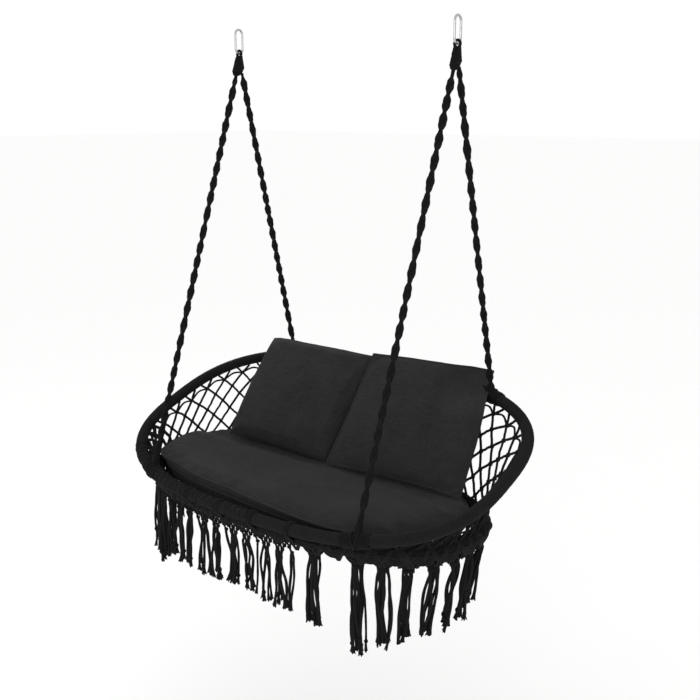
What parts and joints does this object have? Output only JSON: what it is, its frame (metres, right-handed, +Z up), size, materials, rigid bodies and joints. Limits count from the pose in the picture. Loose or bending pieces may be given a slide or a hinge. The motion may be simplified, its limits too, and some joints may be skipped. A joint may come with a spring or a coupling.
{
  "type": "two-seat hanging chair",
  "caption": "Wide macrame hanging chair: tilted oval hoop over a seat hoop, knotted net, cord fringe, seat and back cushions, twisted rope V hangers ending in oval steel rings.",
  "frame": {"origin": "centre of the bounding box in plan, on the level of the fringe's lowest tips", "axes": "+X to the sitter's left along the wide side, +Y to the back, +Z up to the hanging rings"},
  "size_m": [1.2594, 0.7429, 1.6021],
  "materials": {
    "ring_steel": "polished steel",
    "frame_tube": "black powder coat, hidden under the wrap",
    "hoop_wrap": "matte braided cotton cord",
    "rope_cord": "matte twisted cotton rope",
    "net_cord": "matte knotted cotton cord",
    "fringe_cord": "loose cotton cord with frayed tips",
    "cushion_cloth": "charcoal plain weave cloth",
    "zip_tape": "nylon coil zip",
    "seat_foam": "soft open-cell foam",
    "cushion_fibre": "loose polyester fibre"
  },
  "bodies": {
    "hanging_rings": {"hanging_ring_left": "ring_steel", "hanging_ring_right": "ring_steel"},
    "rope_eyes": {"rope_eye_left": "rope_cord", "neck_whipping_left": "rope_cord", "rope_eye_right": "rope_cord", "neck_whipping_right": "rope_cord"},
    "left_legs": {"hanging_rope_front_left": "rope_cord", "hanging_rope_back_left": "rope_cord"},
    "right_legs": {"hanging_rope_front_right": "rope_cord", "hanging_rope_back_right": "rope_cord"},
    "seat_cushion": {"seat_cushion_cover": "cushion_cloth", "seat_cushion_zip": "zip_tape", "seat_cushion_foam": "seat_foam"},
    "back_cushion_left": {"back_cushion_left_cover": "cushion_cloth", "back_cushion_left_zip": "zip_tape", "back_cushion_left_filling": "cushion_fibre"},
    "back_cushion_right": {"back_cushion_right_cover": "cushion_cloth", "back_cushion_right_zip": "zip_tape", "back_cushion_right_filling": "cushion_fibre"},
    "fringe_left_back": {"fringe_bundle_01": "fringe_cord", "fringe_bundle_02": "fringe_cord"},
    "fringe_left_side": {"fringe_bundle_03": "fringe_cord", "fringe_bundle_04": "fringe_cord"},
    "fringe_left_corner": {"fringe_bundle_05": "fringe_cord", "fringe_bundle_06": "fringe_cord"},
    "fringe_front_left": {"fringe_bundle_07": "fringe_cord", "fringe_bundle_08": "fringe_cord"},
    "fringe_front_middle": {"fringe_bundle_09": "fringe_cord", "fringe_bundle_10": "fringe_cord", "fringe_bundle_11": "fringe_cord"},
    "fringe_front_right": {"fringe_bundle_12": "fringe_cord", "fringe_bundle_13": "fringe_cord"},
    "fringe_right_corner": {"fringe_bundle_14": "fringe_cord", "fringe_bundle_15": "fringe_cord"},
    "fringe_right_side": {"fringe_bundle_16": "fringe_cord", "fringe_bundle_17": "fringe_cord"},
    "fringe_right_back": {"fringe_bundle_18": "fringe_cord", "fringe_bundle_19": "fringe_cord"},
    "chair": {"upper_hoop_tube": "frame_tube", "upper_hoop_wrap": "hoop_wrap", "upper_hoop_spigot": "frame_tube", "rope_lashing_front_left": "rope_cord", "rope_lashing_back_left": "rope_cord", "rope_lashing_front_right": "rope_cord", "rope_lashing_back_right": "rope_cord", "lower_hoop_tube": "frame_tube", "lower_hoop_wrap": "hoop_wrap", "lower_hoop_spigot": "frame_tube", "front_lashing_1": "rope_cord", "front_lashing_2": "rope_cord", "front_lashing_3": "rope_cord", "front_lashing_4": "rope_cord", "side_net": "net_cord", "seat_net": "net_cord"}
  },
  "joints": [
    {"name": "swing_fore_aft", "type": "hinge", "parent": "hanging_rings", "child": "rope_eyes", "pos_m": [0, 0.085, 1.5473], "axis": [1, 0, 0], "range_deg": [-22, 22]},
    {"name": "sway_side", "type": "hinge", "parent": "rope_eyes", "child": "left_legs", "pos_m": [-0.382, 0.08135, 1.46955], "axis": [0, 0.9397, 0.342], "range_deg": [-10, 10]},
    {"name": "sway_side_right_legs", "type": "hinge", "parent": "rope_eyes", "child": "right_legs", "pos_m": [0.382, 0.08135, 1.46955], "axis": [0, 0.9397, 0.342], "range_deg": [-10, 10]},
    {"name": "sway_side_chair", "type": "hinge", "parent": "left_legs", "child": "chair", "pos_m": [-0.382, 0.00282, 0.49308], "axis": [0, 0.9397, 0.342], "range_deg": [-10, 10]},
    {"name": "seat_cushion_lift", "type": "slide", "parent": "chair", "child": "seat_cushion", "axis": [0, 0, 1], "range_m": [0, 0.035]},
    {"name": "back_cushion_left_lift", "type": "slide", "parent": "seat_cushion", "child": "back_cushion_left", "axis": [0.0218, -0.4995, 0.866], "range_m": [0, 0.2]},
    {"name": "back_cushion_right_lift", "type": "slide", "parent": "seat_cushion", "child": "back_cushion_right", "axis": [0.0218, -0.4995, 0.866], "range_m": [0, 0.2]},
    {"name": "fringe_front_middle_sway", "type": "hinge", "parent": "chair", "child": "fringe_front_middle", "pos_m": [0, -0.3208, 0.2775], "axis": [-1, 0, 0], "range_deg": [-6, 14]},
    {"name": "fringe_left_back_sway", "type": "hinge", "parent": "chair", "child": "fringe_left_back", "pos_m": [-0.54142, -0.00679, 0.2775], "axis": [0.1369, 0.9906, 0], "range_deg": [-6, 14]},
    {"name": "fringe_left_side_sway", "type": "hinge", "parent": "chair", "child": "fringe_left_side", "pos_m": [-0.53036, -0.1358, 0.2775], "axis": [-0.3531, 0.9356, 0], "range_deg": [-6, 14]},
    {"name": "fringe_left_corner_sway", "type": "hinge", "parent": "chair", "child": "fringe_left_corner", "pos_m": [-0.44841, -0.23425, 0.2775], "axis": [-0.8329, 0.5535, 0], "range_deg": [-6, 14]},
    {"name": "fringe_front_left_sway", "type": "hinge", "parent": "chair", "child": "fringe_front_left", "pos_m": [-0.3, -0.29301, 0.2775], "axis": [-0.9721, 0.2346, 0], "range_deg": [-6, 14]},
    {"name": "fringe_front_right_sway", "type": "hinge", "parent": "chair", "child": "fringe_front_right", "pos_m": [0.3, -0.29301, 0.2775], "axis": [-0.9721, -0.2346, 0], "range_deg": [-6, 14]},
    {"name": "fringe_right_corner_sway", "type": "hinge", "parent": "chair", "child": "fringe_right_corner", "pos_m": [0.44841, -0.23425, 0.2775], "axis": [-0.8329, -0.5535, 0], "range_deg": [-6, 14]},
    {"name": "fringe_right_side_sway", "type": "hinge", "parent": "chair", "child": "fringe_right_side", "pos_m": [0.53036, -0.1358, 0.2775], "axis": [-0.3531, -0.9356, 0], "range_deg": [-6, 14]},
    {"name": "fringe_right_back_sway", "type": "hinge", "parent": "chair", "child": "fringe_right_back", "pos_m": [0.54142, -0.00679, 0.2775], "axis": [0.1369, -0.9906, 0], "range_deg": [-6, 14]}
  ],
  "couplings": [
    {"joint": "sway_side_right_legs", "follows": "sway_side", "ratio": 1},
    {"joint": "sway_side_chair", "follows": "sway_side", "ratio": -1},
    {"joint": "fringe_left_back_sway", "follows": "fringe_front_middle_sway", "ratio": 1},
    {"joint": "fringe_left_side_sway", "follows": "fringe_front_middle_sway", "ratio": 1},
    {"joint": "fringe_left_corner_sway", "follows": "fringe_front_middle_sway", "ratio": 1},
    {"joint": "fringe_front_left_sway", "follows": "fringe_front_middle_sway", "ratio": 1},
    {"joint": "fringe_front_right_sway", "follows": "fringe_front_middle_sway", "ratio": 1},
    {"joint": "fringe_right_corner_sway", "follows": "fringe_front_middle_sway", "ratio": 1},
    {"joint": "fringe_right_side_sway", "follows": "fringe_front_middle_sway", "ratio": 1},
    {"joint": "fringe_right_back_sway", "follows": "fringe_front_middle_sway", "ratio": 1}
  ]
}
